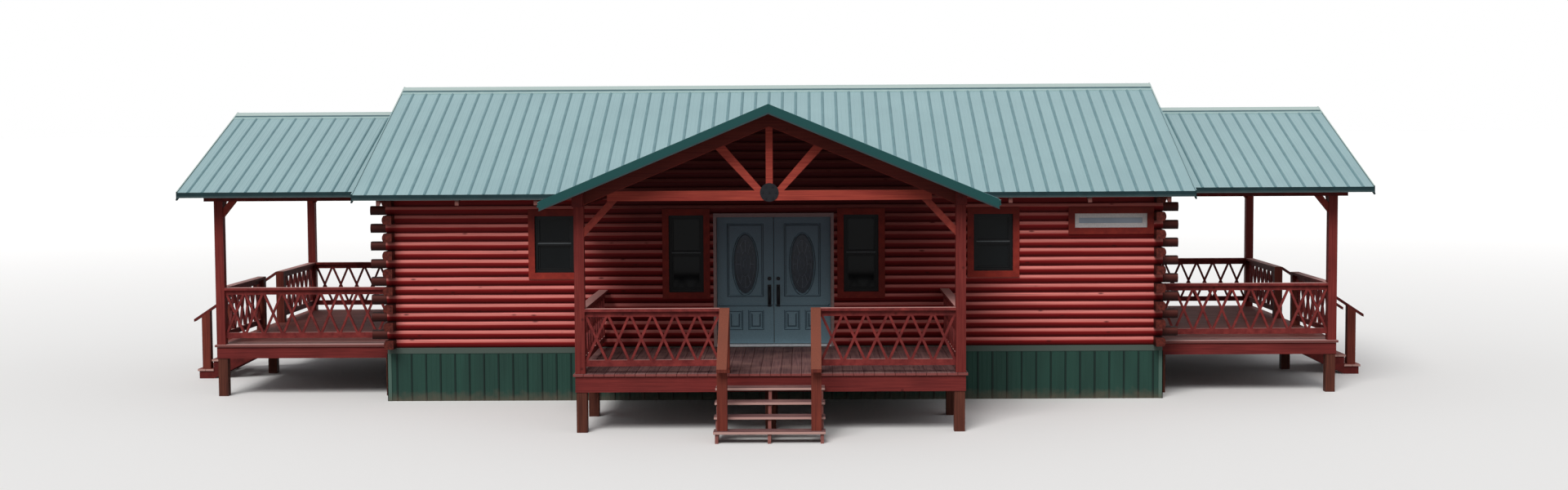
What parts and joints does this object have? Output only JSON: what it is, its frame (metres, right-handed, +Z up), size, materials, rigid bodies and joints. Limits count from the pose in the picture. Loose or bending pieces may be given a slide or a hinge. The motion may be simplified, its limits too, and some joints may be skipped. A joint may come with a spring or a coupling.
{
  "type": "log cabin",
  "caption": "One-storey log cabin with a ribbed metal gable roof, a truss-fronted entrance porch, a covered deck with a stair at each end, and a double door that swings in.",
  "frame": {"origin": "on the ground below the middle of the whole cabin", "axes": "+X along the ridge to the right as seen from the front, +Y from the front porch to the back, +Z up"},
  "size_m": [20.128, 12.2, 5.0161],
  "materials": {
    "logs": "red stained logs, satin",
    "floor_boards": "plain boards",
    "skirting_metal": "dark green painted sheet",
    "roof_metal": "green painted ribbed sheet, weathered pale",
    "roof_trim": "dark green painted sheet",
    "stained_timber": "red stained timber",
    "deck_boards": "red brown stained boards",
    "bare_timber": "rough treated timber",
    "dark_metal": "black powder coat",
    "window_vinyl": "black",
    "window_glass": "clear over a dark room",
    "door_paint": "blue grey paint, satin",
    "door_glass": "leaded dark glass",
    "door_frame": "pale primed frame"
  },
  "bodies": {
    "cabin": {"front_wall_left": "logs", "front_wall_right": "logs", "front_wall_over_door": "logs", "front_gable_wall": "logs", "left_end_wall": "logs", "right_end_wall": "logs", "back_wall": "logs", "floor": "floor_boards", "skirting": "skirting_metal", "main_roof_front": "roof_metal", "main_roof_back": "roof_metal", "front_porch_roof": "roof_metal", "left_porch_roof": "roof_metal", "right_porch_roof": "roof_metal", "main_roof_trim": "roof_trim", "porch_roof_trim": "roof_trim", "ridge_boards": "stained_timber", "front_truss": "stained_timber", "left_truss": "stained_timber", "right_truss": "stained_timber", "porch_posts": "stained_timber", "porch_beams": "stained_timber", "knee_braces": "stained_timber", "deck_frames": "stained_timber", "stair_newels": "stained_timber", "front_stair_handrails": "stained_timber", "side_stair_handrails": "stained_timber", "front_rails": "stained_timber", "left_rails": "stained_timber", "right_rails": "stained_timber", "window_casings": "stained_timber", "end_door_casings": "stained_timber", "front_stair_stringers": "stained_timber", "side_stair_stringers": "stained_timber", "front_deck": "deck_boards", "left_deck": "deck_boards", "right_deck": "deck_boards", "front_stair_treads": "deck_boards", "side_stair_treads": "deck_boards", "deck_piles": "bare_timber", "truss_plates": "dark_metal", "door_hinges": "dark_metal", "front_windows": "window_vinyl", "back_windows": "window_vinyl", "end_windows": "window_vinyl", "window_glass": "window_glass", "end_doors": "door_paint", "door_jambs": "door_frame", "door_head_and_sill": "door_frame"},
    "left_leaf": {"left_door": "door_paint", "left_door_glass": "door_glass", "left_door_hardware": "dark_metal"},
    "right_leaf": {"right_door": "door_paint", "right_door_glass": "door_glass", "right_door_hardware": "dark_metal"}
  },
  "joints": [
    {"name": "left_door_hinge", "type": "hinge", "parent": "cabin", "child": "left_leaf", "pos_m": [-0.8925, -1.577, 1.88], "axis": [0, 0, 1], "range_deg": [0, 90]},
    {"name": "right_door_hinge", "type": "hinge", "parent": "cabin", "child": "right_leaf", "pos_m": [0.8925, -1.577, 1.88], "axis": [0, 0, -1], "range_deg": [0, 90]}
  ]
}
